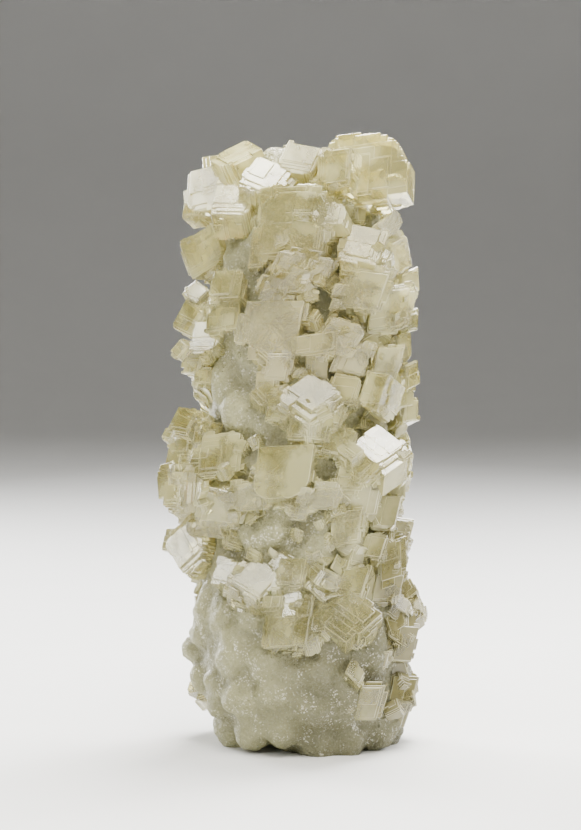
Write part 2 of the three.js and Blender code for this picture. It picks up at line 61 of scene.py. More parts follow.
# Crystals. Each row: x and height of the middle of the main face, its distance from the axis,
# the edges a and b of that face, the edge c that goes inwards, where the face looks
# (to the right, up), its turn in its own plane, and the number of large growth steps.
CRYSTALS = {
    "crown": [
        (-15.5, 142.8, 19, 6, 13, 7, -8, 65, 3, 1),
        (-22.8, 134.5, 24.5, 10, 10.5, 9, -18, 14, -37, 1),
        (-25, 130.5, 26, 5.5, 6, 6, -35, 0, -50, 0),
        (-16, 132, 25, 8, 9, 9, 5, 30, -52, 0),
        (-8, 137.5, 23, 8, 9, 10, 5, 25, -75, 0),
        (-0.3, 141.6, 20, 7, 8.5, 9, 0, 22, -62, 0),
        (15.8, 140, 24, 15.5, 17, 13, 4, 4, -43, 2),
        (7.5, 139, 25, 9, 8, 9, -5, 8, -43, 0),
        (20.6, 134, 23, 8, 9, 10, 16, -4, -43, 0),
        (7.4, 128.8, 27, 5.4, 5.4, 6, -5, 22, -48, 0),
        (1.6, 131.4, 27, 6, 6, 7, -5, 20, -52, 0),
    ],
    "rosette": [
        (-2.5, 126, 26, 15, 15, 11, -3, -4, -47, 2),
        (-1, 113, 26.5, 13, 12, 9, 5, -14, -60, 1),
        (-7, 102, 26, 12.5, 13.5, 10, -6, -8, -50, 2),
        (3, 98, 26.5, 5, 11, 7, 2, -4, -42, 0),
        (9.5, 99.5, 27, 8.5, 9, 8, 8, -14, -70, 0),
        (14.5, 111, 28, 10, 10, 9, 8, -6, -58, 1),
        (15, 121.5, 27.5, 9, 9, 8, 12, 28, -64, 1),
        (21.5, 106, 27, 11, 11, 9, 20, -6, -43, 1),
        (21.5, 126, 26, 8, 4.5, 11, 35, 15, -100, 0),
        (23.5, 118.5, 26, 8, 8, 8, 38, 6, -30, 0),
        (26, 110.5, 27, 8.5, 8.5, 8, 42, 2, -36, 0),
        (27.4, 103, 28.4, 5.5, 5, 11, 60, 0, -46, 0),
        (25, 96.5, 26, 6.5, 6, 7, 48, 10, -48, 0),
    ],
    "left_shoulder": [
        (-23.5, 119.2, 25.5, 9, 9.5, 9, -14, -4, -20, 1),
    ],
    "left_edge": [
        (-17.6, 112.2, 25.5, 7, 7, 8, -8, 16, -47, 0),
        (-18.3, 105, 25.5, 8, 7.5, 8, 0, -2, -43, 0),
        (-25, 110, 26.5, 4.5, 4.5, 6, -20, 8, -86, 0),
        (-27, 103.5, 28, 8, 7, 9, -38, 6, -70, 0),
        (-28.5, 95.5, 29, 5, 5, 8, -40, -4, -88, 0),
        (-26, 92.5, 27, 5, 5, 6, -30, 0, -50, 0),
        (-23.5, 89.8, 25, 4, 4.5, 6, -20, 0, -46, 0),
        (-22.5, 99.5, 25.5, 7, 6.5, 8, -16, 10, -48, 0),
    ],
    "right_upper": [
        (16.8, 87.2, 27.5, 8.5, 5.5, 10, -14, 6, -57, 0),
        (24.5, 87, 26, 10, 9, 9, 42, 2, -44, 1),
        (27, 81.5, 27.5, 6, 6, 7, 52, 6, -50, 0),
        (20.5, 92.5, 26, 9, 8, 8, 28, -6, -52, 1),
        (12, 94.5, 25.5, 8, 8, 8, 10, -12, -60, 0),
        (27.2, 90, 28.4, 6, 6, 10, 58, 4, -40, 0),
    ],
    "middle": [
        (2.2, 86.5, 26.5, 10, 10, 9, 0, 34, -90, 1),
        (2, 80, 27, 8, 9, 8, 2, 8, -52, 0),
        (7.5, 81.5, 26.5, 5, 6, 7, 14, 10, -60, 0),
        (-4, 84, 25.5, 8, 8, 8, -10, 0, -50, 0),
        (9.5, 75.5, 25.5, 7, 7, 8, 10, 6, -64, 0),
        (10.5, 87.5, 26, 7, 7, 8, 12, 4, -58, 0),
        (-5.5, 92, 24.8, 8, 6, 8, -6, -14, -50, 0),
    ],
    "diamond": [
        (18.3, 74, 28.5, 9.5, 9.5, 9, 2, 30, -92, 1),
        (23.2, 69, 28, 7, 7, 8, 24, 10, -70, 0),
        (14, 68.5, 27.5, 6, 6, 7, -10, 10, -84, 0),
        (11.5, 73.5, 27.5, 4, 5, 6, -8, 30, -88, 0),
    ],
    "left_mid": [
        (-19, 72.3, 27.5, 9.5, 10, 9, -8, 8, -45, 1),
        (-27.5, 74, 29, 11, 10, 10, -34, 5, -50, 1),
        (-25.5, 79.5, 27, 5, 5, 6, -16, 34, -58, 0),
        (-28.5, 79, 30, 7, 7, 8, -34, 20, -58, 0),
        (-33, 64.5, 34, 8, 4, 9, -32, 0, -34, 0),
        (-31, 61, 32.5, 5.5, 4.5, 8, -24, 4, -48, 0),
        (-27.5, 63, 29.5, 10, 9, 9, -28, -8, -48, 1),
        (-19.5, 58, 27.5, 12, 11, 10, -8, -16, -58, 1),
        (-27, 57, 28.5, 6, 6, 7, -30, -10, -48, 0),
        (-12.5, 62, 26.5, 7, 7, 8, -6, -6, -44, 0),
    ],
    "centre": [
        (-4.2, 68.2, 27.5, 12.5, 13, 10, 0, 4, -48, 2),
        (6, 62.5, 26.5, 7, 7, 8, 12, -8, -56, 0),
        (12, 66, 26, 7, 7, 8, 10, 0, -54, 0),
        (-0.5, 60.5, 25.5, 7, 6, 8, 0, -12, -60, 0),
    ],
    "left_low": [
        (-27.5, 49.4, 30.5, 8.5, 8.5, 9, -18, 12, -6, 0),
        (-31, 50.2, 31.5, 5.5, 6, 11, -44, 6, -46, 0),
    ],
    "left_cluster": [
        (-10.5, 43.8, 27.5, 9, 9, 9, 0, 30, -82, 1),
        (-17.5, 44, 26.5, 6, 6, 7, -18, 12, -58, 0),
        (-2, 45, 27, 7, 7, 8, 6, 22, -52, 0),
        (-12, 39, 26.5, 6.5, 6.5, 7, -6, 14, -66, 0),
    ],
    "right_mid": [
        (10.5, 55, 27, 8, 7, 8, 2, 0, -44, 0),
        (20.5, 57.5, 26, 8.5, 7, 8, 30, 2, -56, 0),
        (23.5, 63, 26, 5, 5, 7, 38, 10, -48, 0),
        (22, 46, 27, 10, 8, 9, 26, 4, -38, 1),
        (17, 50.5, 26.5, 6, 6, 7, 14, 12, -60, 0),
        (11.5, 42.5, 27, 8, 8, 8, 2, 14, -58, 0),
        (15, 61.5, 26, 8, 8, 8, 16, -4, -50, 0),
        (24.5, 52.5, 26.5, 7, 7, 8, 40, 0, -60, 0),
        (5, 40, 26, 7, 7, 8, 8, 8, -50, 0),
    ],
    "laminated": [
        (-2.8, 33, 28.5, 11.5, 10, 9, 0, 6, -48, 1),
        (-2, 37.5, 27.5, 6.5, 4.5, 7, 4, 18, -44, 0),
        (2.9, 33, 27.5, 5, 7, 6, 18, 6, -44, 0),
    ],
    "diamond_low": [
        (12, 35.1, 30, 9.5, 9.5, 10, 3, 16, -88, 1),
        (13, 28.9, 27, 6, 6, 7, 8, -6, -84, 0),
    ],
    "right_foot": [
        (25.3, 32.4, 27, 8, 7, 8, 44, 12, -46, 0),
        (24.5, 26.5, 28, 9.5, 9, 9, 38, 2, -58, 1),
        (19, 22.5, 27, 5, 5, 7, 16, -6, -52, 0),
        (26.5, 31.5, 28.5, 4.5, 5, 7, 56, 14, -54, 0),
        (20.5, 39.5, 26, 7, 8, 8, 24, 0, -52, 0),
    ],
    "base_right": [
        (24.8, 14, 27.4, 8.5, 8, 9, 32, 8, -58, 0),
        (23.5, 9, 27, 6.5, 6.5, 8, 28, -6, -58, 0),
        (14.5, 13, 27, 9, 9, 7, 6, -12, -52, 1),
    ],
}

# How a few crystals differ from the rest, by region and place in it. floors: how many floors the
# main face has. drop: how far the lowest lies under it, as a share of the shorter edge. teeth: how
# many blocks stand out along the sides. corner: the signs along edges a and b of the corner that is
# cut back, share: how far, cuts: in how many steps, and both: whether the opposite one is too.
# steps: how many large growth steps. satellites and druse: how many small crystals sit on the rim
# and on the face.
HABITS = {
    ("crown", 6): {"floors": 9, "teeth": 30, "corner": (-1, 1), "share": 0.5, "cuts": 14,
                   "steps": 0, "satellites": 0, "druse": 0},
    ("crown", 1): {"floors": 5, "teeth": 10},
    ("rosette", 0): {"floors": 3, "teeth": 34, "drop": 0.05, "satellites": 7,
                     "druse": 7},
    ("rosette", 1): {"floors": 3, "teeth": 26, "share": 0.6, "cuts": 9, "druse": 24},
    ("rosette", 2): {"floors": 1, "teeth": 16, "share": 0.5, "cuts": 10, "drop": 0.015,
                     "druse": 1},
    ("rosette", 5): {"floors": 6, "teeth": 24, "satellites": 8},
    ("left_shoulder", 0): {"floors": 2, "teeth": 4, "drop": 0.03, "satellites": 1,
                           "druse": 0},
    ("centre", 0): {"floors": 0, "teeth": 3, "corner": (1, 1), "share": 0.32, "cuts": 12,
                    "both": True, "drop": 0, "satellites": 2, "steps": 0, "druse": 0},
    ("left_low", 0): {"floors": 8, "teeth": 16, "corner": (1, 1), "druse": 0},
    ("laminated", 0): {"floors": 9, "teeth": 34},
    ("laminated", 2): {"floors": 5, "teeth": 20},
    ("left_mid", 7): {"floors": 5, "teeth": 24, "satellites": 7, "druse": 12},
    ("middle", 6): {"druse": 5},
    ("middle", 3): {"druse": 5},
    ("right_mid", 0): {"druse": 6},
    ("right_mid", 3): {"druse": 5},
    ("right_upper", 0): {"floors": 5, "teeth": 14},
    ("diamond", 0): {"floors": 9, "teeth": 26, "corner": (1, 1), "satellites": 2, "druse": 0},
    ("diamond_low", 0): {"floors": 2, "teeth": 14, "corner": (1, 1), "cuts": 3, "satellites": 2,
                         "druse": 0},
    ("left_cluster", 0): {"floors": 8, "teeth": 26},
    ("right_foot", 0): {"floors": 2, "teeth": 6, "share": 0.15, "satellites": 1},
    ("right_foot", 1): {"floors": 2, "teeth": 6, "share": 0.15, "satellites": 1},
    ("base_right", 0): {"floors": 2, "teeth": 8, "share": 0.15, "satellites": 1},
    ("base_right", 1): {"floors": 2, "teeth": 8, "share": 0.15, "satellites": 1},
    ("base_right", 2): {"floors": 2, "teeth": 6, "share": 0.15, "satellites": 1},
}

# The width of the bevel along the edges, which is painted bright as a highlight.
FINE_EDGE = 0.14

# The materials of the faces and of the edges; the edges' one is painted whiter as a highlight.
CALCITE = ("calcite crystal", "calcite edge highlight")

# What grows with a crystal's face: the least number, the most that are added to it, and the area
# in square millimetres for each one that is added.
CUTS = (3, 4, 25)
FLOORS = (2, 5, 22)
TEETH = (6, 16, 8)

# How far a corner is cut back, as a share of the edge, where HABITS doesn't say.
CORNER_SHARE = (0.12, 0.4)

# Small crystals on the rim of each crystal: their number, how far along the edge from its middle
# they sit at most, how deep under the face and how large they are, as shares of the large
# crystal's edges, and how many degrees they lean.
SATELLITES = 4
RIM_ALONG = 0.5
RIM_ACROSS = 0.47
RIM_DEPTH = (0.12, 0.6)
RIM_SIZE = (0.2, 0.42)
SATELLITE_TILT = 7

# The same for small crystals on the face, and the area for each.
DRUSE_AREA = 50
FACE_ALONG = 0.45
FACE_DEPTH = (0, 0.16)
FACE_SIZE = (0.12, 0.26)
DRUSE_TILT = 20

# Both kinds: how they are stretched along b and c, and how much of their edge stands out.
SMALL_STRETCH = (0.7, 1.3)
SMALL_LENGTH = 1.3
SMALL_OUT = 0.4

# How far the lowest floor lies under the main face, as a share of its shorter edge, how that
# varies from floor to floor, and how deep each floor's block goes, as a share of the depth.
TERRACE_DROP = 0.1
TERRACE_SPREAD = (0.7, 1)
TERRACE_DEPTH = 0.8

# How far a floor stays back from the sides, as shares of the edge: at the cut corner from the
# first number up to the second, and to this much more on the highest floor, but at least the
# stated part of the corner's own cut, and at the other side up to the last number.
TERRACE_CUT = (0.04, 0.2)
TERRACE_CUT_MORE = 0.4
TERRACE_CORNER = 0.35
TERRACE_CUT_OTHER = 0.12

# How far under the main face the blocks of a cut corner end, as parts of the floors' drop.
CORNER_DROP = (0.8, 1.5)

# Teeth: how far they stand out as a share of the edge and in millimetres more, how wide they are
# as a share of the edge, how likely they are to start near the corner, and how far down they
# begin and how long they are, as shares of the depth.
TOOTH_OUT = (0.01, 0.08)
TOOTH_OUT_MORE = 0.3
TOOTH_WIDTH = (0.1, 0.45)
TOOTH_STARTS = (0.1, 1, 1)
TOOTH_DROP = (0.03, 0.5)
TOOTH_HEIGHT = (0.3, 0.9)

# The solid that each region's crystals belong to, and the exceptions by place in the region.
REGION_NODES = {
    "left_shoulder": "calcite_left_shoulder",
    "left_edge": "calcite_left_shoulder",
    "right_foot": "calcite_right_foot",
    "base_right": "calcite_base_right_2",
}
MAIN_NODE = "calcite_crown"
NODE_EXCEPTIONS = {
    ("crown", 0): "calcite_crown_2",
    ("crown", 1): "calcite_crown_2",
    ("crown", 2): "calcite_crown_2",
    ("right_foot", 4): "calcite_crown",
    ("base_right", 2): "calcite_base_right",
}
TOP_NODE = "calcite_crown_2"
BACK_NODES = (
    "back_12 back_6 back_6 back right_foot back_17 back_10 back_5 back_14 back_11 back_9 back_2 "
    "back_13 back_15 back_8 back_7 back_16 back_18 back_3 back_3 crown crown back_4 back_4 "
    "crown crown crown_2 crown_2 crown_2 crown_2 crown_2 crown_2 crown_2"
).split()

# Crystals over the back: rings of height, count and the angle of the first.
BACK_RINGS = [
    (15, 4, 22), (32, 4, 12), (49, 4, 28), (66, 4, 16), (83, 4, 28),
    (100, 4, 14), (116, 4, 28), (130, 5, 12),
]
BACK_STEP = 42
BACK_EDGE = (9.5, 14)
BACK_DEPTH = 9
BACK_STAND_OUT = (3, 5.5)
BACK_HEIGHT_SPREAD = 8
BACK_TURN_SPREAD = 14
BACK_AIM_SPREAD = 24
BACK_TILT_SPREAD = 34
BACK_TILT = 3

# Crystals over the top: angle, distance from the axis, height, edges a, b and c, and turn.
TOP_CRYSTALS = [
    (0, 2, 143, 10, 11, 10, -40), (100, 9, 141, 9, 8, 9, 20), (170, 10, 140.5, 8, 9, 9, 80),
    (250, 8, 142, 7, 8, 9, 130), (45, 11, 140.5, 8, 9, 9, 100),
]
TOP_TILT = 62

# The seeds of the crystals at the front, the top and the back, and how they go up from one region,
# ring or place to the next. Where the solids draw numbers too, these are the same.
REGION_SEEDS = 40
PLACE_SEEDS = 3
TOP_SEED = 900
BACK_SEED = 500
RING_SEEDS = 20

# Large growth steps: how far they stand out and are cut in at the ends, as shares of the edge,
# and how far they stay below the main face, as a share of the depth.
STEP_OUT = (0.07, 0.16)
STEP_CUT = (0.04, 0.26)
STEP_DROP = (0.1, 0.26)

# The core of the stalactite: height, then radius, from the base to the broken top.
CORE_PROFILE = [
    (0, 15.5), (3, 19.2), (7, 22.4), (11, 23.8), (16, 24.6), (26, 25), (38, 23.5), (54, 21.8),
    (72, 21.2), (90, 20.8), (106, 20.4), (120, 19.2), (131, 16.5), (137.5, 11),
]
CORE_LEAN = 5
LEAN_HEIGHT = 8

# Lumps that show on the front: x, height, radius, and how far out of the core their middles sit.
FRONT_LUMPS = [
    (-14.5, 81.5, 5.2, 1.2), (-18.5, 88.5, 4.8, 0.6), (-20.5, 75.5, 3.8, 0.4),
    (-16, 125.5, 4.8, 0.2), (-15.5, 116.5, 4.8, 0),
    (-22.5, 42.5, 3.8, 0.6), (-22.3, 37.5, 3.4, 0.5), (-6, 54, 5, 0.8),
    (4.5, 48.5, 4.6, 0.6), (-12, 33.5, 4.8, 0.2), (-19, 32, 4.8, 0.6),
    (-24, 27, 4.6, 0.6), (-27.4, 22.6, 3.2, 2.8), (-24.4, 16.5, 4.8, 0.9), (-16.5, 23.5, 5, 1),
    (-8, 22.5, 5, 1), (-21.5, 10.5, 4, 0.5), (-15, 13.5, 5.8, 1.4), (-6.5, 15, 5, 1.4),
    (-14.5, 6.5, 4.6, 0.8), (-6, 7.5, 4.8, 1.2), (1.5, 11.5, 5, 1.2), (0.5, 3.8, 4.4, 1),
    (4, 20, 5, 1), (9, 4, 4.6, 1), (10.5, 15.5, 4.8, 0.8),
    (17, 5, 4.6, 0.8), (21.5, 4.5, 4, 0.4), (17, 28, 4.4, 0.2),
]
SPIRAL_LUMPS = 110
SPIRAL_LUMP_RADIUS = (4.8, 6.8)
SPIRAL_LUMP_OUT = (-1.1, -0.3)
SPIRAL_TURN = 137.5
SPIRAL_TOP = 137.5
SPIRAL_SEED = 11
LUMP_SINK = 0.52
LUMP_HEIGHT = (0.85, 1.35)
LUMP_SEED = 5
CORE_SIDES = 72

# The skin of the stalactite: the grid it is drawn on, how often it is smoothed, the spots of its
# two reliefs with their depths, and the angle in degrees up to which it is shaded smooth.
SKIN_GRID = 0.58
SKIN_SMOOTHING = 40
SKIN_RELIEF = {"swells": (7, 2.8), "knobs": (1.8, 0.5)}
SKIN_SMOOTH_ANGLE = 40

# Points nearer than this, in metres, are one point.
MERGE = 1e-6

# Where the skin counts as a hollow and from there how far up as the crest of a lump.
HOLLOW_AT = -0.6
CREST_ABOVE = 3.4

# The small crystals between the large ones: their number, the length of their edges, where they
# stand, how far the directions in which they look spread in degrees, how far they stand out,
# and how many are joined at a time.
SMALL_COUNT = 400
SMALL_EDGE = (2.2, 5.5)
SMALL_HEIGHTS = (8, 140)
SMALL_SPREAD = 22
SMALL_TILT = 6
SMALL_ROOT = 1.4
SMALL_STAND_OUT = (0.2, 2.6)
SMALL_SEED = 77
BATCH = 20

# The models that these and the crystals on the rims and faces are copied from, of unit edge.
MODELS = 6
MODEL_SEED = 12
MODEL_SIZE = (1, 1, 1.2)
MODEL_SHARE = (0.2, 0.4)
MODEL_CUTS = 3
MODEL_TEETH = 6
MODEL_REACH = 0.6
MODEL_EDGE = 0.03

# What light does in the two minerals: how it bends, and how much of it a metre of calcite takes.
CALCITE_IOR = 1.6
CHALCEDONY_IOR = 1.54
CALCITE_ABSORPTION = 120.0

# The glinting grains of sugar-like druse on the stalactite: glossy, and painted pale as glints.
SUGAR_GRAIN = 0.32

# The camera looks at this point from this far, slightly downwards.
VIEW_TARGET = (-2.3, 0, 79.6)
VIEW_DISTANCE = 834
VIEW_DOWN = 4
VIEW_LENS = 150
VIEW_SENSOR = 36
VIEW_CLIP = (0.01, 20)

# The lights: turn to the right of the camera and height in degrees, distance and size in metres,
# power in watts and tint.
LIGHTS = {
    "key": (9, 55, 0.6, (0.1, 0.1), 1.5, (1, 0.97, 0.88)),
    "soft key": (14, 62, 0.5, (0.3, 0.3), 3.4, (1, 0.97, 0.88)),
    "fill": (-38, 22, 0.65, (0.12, 0.28), 2, (1, 0.99, 0.94)),
    "front": (6, 28, 0.65, (0.1, 0.1), 0.8, (1, 0.98, 0.93)),
    "side": (75, 25, 0.6, (0.2, 0.3), 1.2, (1, 0.98, 0.93)),
    "top": (150, 72, 0.42, (0.22, 0.22), 8.5, (1, 0.98, 0.94)),
    "behind left": (-140, 18, 0.6, (0.2, 0.4), 7, (1, 1, 1)),
    "behind right": (140, 22, 0.6, (0.2, 0.4), 6, (1, 1, 1)),
}
WORLD_TINT = (1, 0.99, 0.96, 1)
WORLD_STRENGTH = 0.11

# The floor: its size, how far it is moved back, how high it goes up behind and the radius of the
# sweep between, in metres, and its two tones.
FLOOR_SIZE = 3
FLOOR_BACK = 0.2
FLOOR_RISE = 2.2
FLOOR_SWEEP = 0.7
FLOOR_TONES = ((0.72, 0.72, 0.71), (0.76, 0.76, 0.75))
FLOOR_SPOTS = 40


def numbers(seed):
    """Numbers between 0 and 1 that follow from a seed, the same as in the part's source."""
    state = (seed * 7919 + 104729) % 233280

    def following():
        nonlocal state
        state = (state * 9301 + 49297) % 233280
        return state / 233280

    return following


def between(limits, following):
    """A number between two limits, from the next one that is drawn."""
    return limits[0] + (limits[1] - limits[0]) * following()


def core_radius(z):
    """The radius of the plain column at this height."""
    for (z0, r0), (z1, r1) in zip(CORE_PROFILE, CORE_PROFILE[1:]):
        if z <= z1:
            return r0 + (r1 - r0) * max(0, (z - z0) / (z1 - z0))
    return CORE_PROFILE[-1][1]


def lean(z):
    """How far the column stands to the right at this height."""
    return CORE_LEAN * math.exp(-z / LEAN_HEIGHT)


# Making and joining objects


def deselect():
    bpy.ops.object.select_all(action="DESELECT")


def pick(*objects):
    """Selects these objects alone, the first one active."""
    deselect()
    for item in objects:
        item.select_set(True)
    bpy.context.view_layer.objects.active = objects[0]


def settle(item, rotation=None, scale=None, location=None):
    """Turns, stretches and moves an object, and puts that into its mesh."""
    pick(item)
    if rotation is not None:
        item.rotation_mode = "QUATERNION"
        item.rotation_quaternion = rotation.to_quaternion()
    if scale is not None:
        item.scale = scale
    if location is not None:
        item.location = location
    bpy.ops.object.transform_apply(location=True, rotation=True, scale=True)


def join(objects):
    pick(*objects)
    bpy.ops.object.join()
    return bpy.context.object


def copy_of(item):
    pick(item)
    bpy.ops.object.duplicate(linked=False)
    return bpy.context.object


def apply_modifier(item, name, kind, **settings):
    pick(item)
    modifier = item.modifiers.new(name, kind)
    for key, value in settings.items():
        setattr(modifier, key, value)
    bpy.ops.object.modifier_apply(modifier=modifier.name)


def discard(objects):
    for item in objects:
        mesh = item.data
        bpy.data.objects.remove(item)
        bpy.data.meshes.remove(mesh)


def grow_together(objects):
    """One closed body of several overlapping ones."""
    first, others = objects[0], objects[1:]
    if not others:
        return first
    holder = bpy.data.collections.new("others")
    bpy.context.scene.collection.children.link(holder)
    for item in others:
        for owner in list(item.users_collection):
            owner.objects.unlink(item)
        holder.objects.link(item)
    apply_modifier(
        first, "grown together", "BOOLEAN",
        operation="UNION", solver="MANIFOLD", operand_type="COLLECTION", collection=holder,
    )
    discard(others)
    bpy.data.collections.remove(holder)
    return first


def by_area(face, least, more, area):
    """The least number, and one more for each so much area, up to a limit."""
    return least + min(more, int(face / area))


# Crystals


def block_place(low, high):
    """Middle and extent of the box between two corners."""
    middle = [(a + b) / 2 for a, b in zip(low, high)]
    return {"location": middle, "scale": [b - a for a, b in zip(low, high)]}


def blocks(corners, edge):
    """Boxes between pairs of corners, with fine bevelled edges painted bright as a highlight, each
    an object of its own.
    """
    deselect()
    bpy.ops.mesh.primitive_cube_add(size=1, **block_place(*corners[0]))
    bpy.ops.object.transform_apply(location=True, rotation=True, scale=True)
    for name in CALCITE:
        bpy.context.object.data.materials.append(bpy.data.materials[name])
    bpy.ops.object.mode_set(mode="EDIT")
    for low, high in corners[1:]:
        bpy.ops.mesh.primitive_cube_add(size=1, **block_place(low, high))
    bpy.ops.mesh.select_all(action="SELECT")
    bpy.ops.mesh.bevel(offset=edge, segments=1, affect="EDGES", material=1)
    if len(corners) > 1:
        bpy.ops.mesh.separate(type="LOOSE")
    bpy.ops.object.mode_set(mode="OBJECT")
    return list(bpy.context.selected_objects)


def large_steps(size, steps, seed):
    """The corners of a crystal's large growth steps, as the solids have them."""
    following = numbers(seed)
    first = math.floor(following() * 4)
    for i in range(steps):
        side = (first + i) % 4
        along = side % 2
        low = [-size[0] / 2, -size[1] / 2, -size[2]]
        high = [size[0] / 2, size[1] / 2, -size[2] * between(STEP_DROP, following)]
        out = size[along] * between(STEP_OUT, following)
        if side < 2:
            low[along] -= out
        else:
            high[along] += out
        low[1 - along] += size[1 - along] * between(STEP_CUT, following)
        high[1 - along] -= size[1 - along] * between(STEP_CUT, following)
        yield low, high


def block_corners(size):
    """The low and the high corner of a crystal whose main face is level with the middle."""
    return [-size[0] / 2, -size[1] / 2, -size[2]], [size[0] / 2, size[1] / 2, 0]


def stepped_corner(size, corner, share, drop, both, count, chance):
    """Blocks of nearly the whole width that leave one corner, or two, cut back in small steps."""
    for i in range(count):
        turn = math.pi / 2 * (i + 0.5) / count
        low, high = block_corners(size)
        cuts = (share * size[0] * (1 - math.sin(turn)), share * size[1] * (1 - math.cos(turn)))
        for k in range(2):
            twice = both and k == 1
            if corner[k] > 0 or twice:
                high[k] -= cuts[k]
            if corner[k] < 0 or twice:
                low[k] += cuts[k]
        high[2] = -drop * min(size[0], size[1]) * chance.uniform(*CORNER_DROP)
        yield low, high


def terraces(size, corner, share, drop, count, chance):
    """Floors of the main face, the highest one the smallest."""
    for i in range(count):
        low, high = block_corners(size)
        low[2] *= TERRACE_DEPTH
        rank = i / count
        high[2] = -drop * min(size[0], size[1]) * rank * chance.uniform(*TERRACE_SPREAD)
        for k in range(2):
            most = TERRACE_CUT[1] + TERRACE_CUT_MORE * (1 - rank)
            cut = size[k] * chance.uniform(TERRACE_CUT[0], most)
            cut = max(cut, TERRACE_CORNER * share * size[k])
            other = size[k] * chance.uniform(0, TERRACE_CUT_OTHER)
            low[k] += other if corner[k] > 0 else cut
            high[k] -= cut if corner[k] > 0 else other
        yield low, high


def teeth(size, corner, share, count, chance):
    """Narrow blocks along the sides, which give the crystal its saw-tooth outline."""
    for _ in range(count):
        low, high = block_corners(size)
        along = chance.randrange(2)
        across = 1 - along
        out = size[along] * chance.uniform(*TOOTH_OUT) + chance.uniform(0, TOOTH_OUT_MORE)
        outwards = chance.random() < 0.5
        room = size[across] * (1 - share * (outwards == (corner[along] > 0)))
        width = min(room, size[across] * chance.uniform(*TOOTH_WIDTH))
        start = chance.uniform(0, room - width) * chance.choice(TOOTH_STARTS)
        if outwards:
            high[along] += out
            low[along] = 0
        else:
            low[along] -= out
            high[along] = 0
        if corner[across] > 0:
            low[across] += start
            high[across] = low[across] + width
        else:
            high[across] -= start
            low[across] = high[across] - width
        high[2] = -chance.uniform(*TOOTH_DROP) * size[2]
        low[2] = max(-size[2], high[2] - size[2] * chance.uniform(*TOOTH_HEIGHT))
        yield low, high


def on_rim(chance):
    """Place along a and b, depth under the face and size, as shares of a large crystal's edges."""
    along = [chance.uniform(-RIM_ALONG, RIM_ALONG) for _ in range(2)]
    along[chance.randrange(2)] = chance.choice((-RIM_ACROSS, RIM_ACROSS))
    return along, chance.uniform(*RIM_DEPTH), chance.uniform(*RIM_SIZE)


def on_face(chance):
    """The same for a place on the main face."""
    along = [chance.uniform(-FACE_ALONG, FACE_ALONG) for _ in range(2)]
    return along, chance.uniform(*FACE_DEPTH), chance.uniform(*FACE_SIZE)


def grown_on(centre, size, aim, count, where, tilt, models, chance):
    """Small crystals on a large one, leaning from it."""
    edges = edge_directions(*aim)
    for _ in range(count):
        along, depth, share = where(chance)
        small = min(size[0], size[1]) * share
        middle = centre + edges[0] * (size[0] * along[0]) + edges[1] * (size[1] * along[1])
        middle += edges[2] * (SMALL_OUT * small - size[2] * depth)
        turned = [angle + chance.gauss(0, tilt) for angle in aim]
        item = copy_of(chance.choice(models))
        broad = small * chance.uniform(*SMALL_STRETCH)
        settle(item, scale=(small, broad, small * SMALL_LENGTH))
        seat_in_lattice(item, middle, turned)
        yield item


def crystal(centre, size, aim, steps, seed, habit, models):
    """One rhomb with its growth steps and the small crystals on its rim, in its place."""
    chance = random.Random(seed * 31 + 5)
    face = size[0] * size[1]
    corner = habit.get("corner", (chance.choice((-1, 1)), chance.choice((-1, 1))))
    share = habit.get("share", chance.uniform(*CORNER_SHARE))
    cuts = habit.get("cuts", by_area(face, *CUTS))
    floors = habit.get("floors", by_area(face, *FLOORS))
    sides = habit.get("teeth", by_area(face, *TEETH))
    drop = habit.get("drop", TERRACE_DROP)
    both = habit.get("both", False)
    corners = list(stepped_corner(size, corner, share, drop, both, cuts, chance))
    corners += terraces(size, corner, share, drop, floors, chance)
    corners += large_steps(size, habit.get("steps", steps), seed)
    corners += teeth(size, corner, share, sides, chance)
    whole = grow_together(blocks(corners, habit.get("edge", FINE_EDGE)))
    seat_in_lattice(whole, centre, aim)
    rim = habit.get("satellites", SATELLITES)
    around = list(grown_on(centre, size, aim, rim, on_rim, SATELLITE_TILT, models, chance))
    druse = habit.get("druse", int(face / DRUSE_AREA))
    around += grown_on(centre, size, aim, druse, on_face, DRUSE_TILT, models, chance)
    return grow_together([whole] + around)


def edge_directions(azimuth, elevation, spin):
    """The three edge directions of a rhomb whose main face looks along (azimuth, elevation)."""
    half = EDGE_ANGLE / 2
    back = math.cos(EDGE_ANGLE) / math.cos(half)
    az, el = math.radians(azimuth), math.radians(elevation)
    face = Vector((math.sin(az) * math.cos(el), -math.cos(az) * math.cos(el), math.sin(el)))
    level = Vector((math.cos(az), math.sin(az), 0))
    across = Matrix.Rotation(math.radians(spin), 3, face) @ level
    along = face.cross(across)
    return [
        across * math.cos(half) - along * math.sin(half),
        across * math.cos(half) + along * math.sin(half),
        across * back + face * math.sqrt(1 - back * back),
    ]


def seat_in_lattice(item, centre, aim):
    """Stretches a square-cornered block along its body diagonal into a rhomb, and seats it."""
    lattice = Matrix(edge_directions(*aim)).transposed()
    upright = Vector((1, 1, 1)).rotation_difference(Vector((0, 0, 1))).to_matrix()
    wide = math.sqrt(1 - math.cos(EDGE_ANGLE))
    tall = math.sqrt(1 + 2 * math.cos(EDGE_ANGLE))
    settle(item, rotation=upright)
    settle(item, scale=(wide * MM, wide * MM, tall * MM))
    turn = lattice @ (Matrix.Diagonal((wide, wide, tall)) @ upright).inverted()
    settle(item, rotation=turn, location=centre * MM)


def front_crystal(region, place, row, index, models):
    """A crystal of the CRYSTALS table."""
    x, z, reach, a, b, c, azimuth, elevation, spin, steps = row
    depth = math.sqrt(max(reach * reach - x * x, 0))
    centre = Vector((x, -math.copysign(depth, math.cos(math.radians(azimuth))), z))
    seed = index * REGION_SEEDS + place * PLACE_SEEDS + 1
    habit = HABITS.get((region, place), {})
    return crystal(centre, (a, b, c), (azimuth, elevation, spin), steps, seed, habit, models)


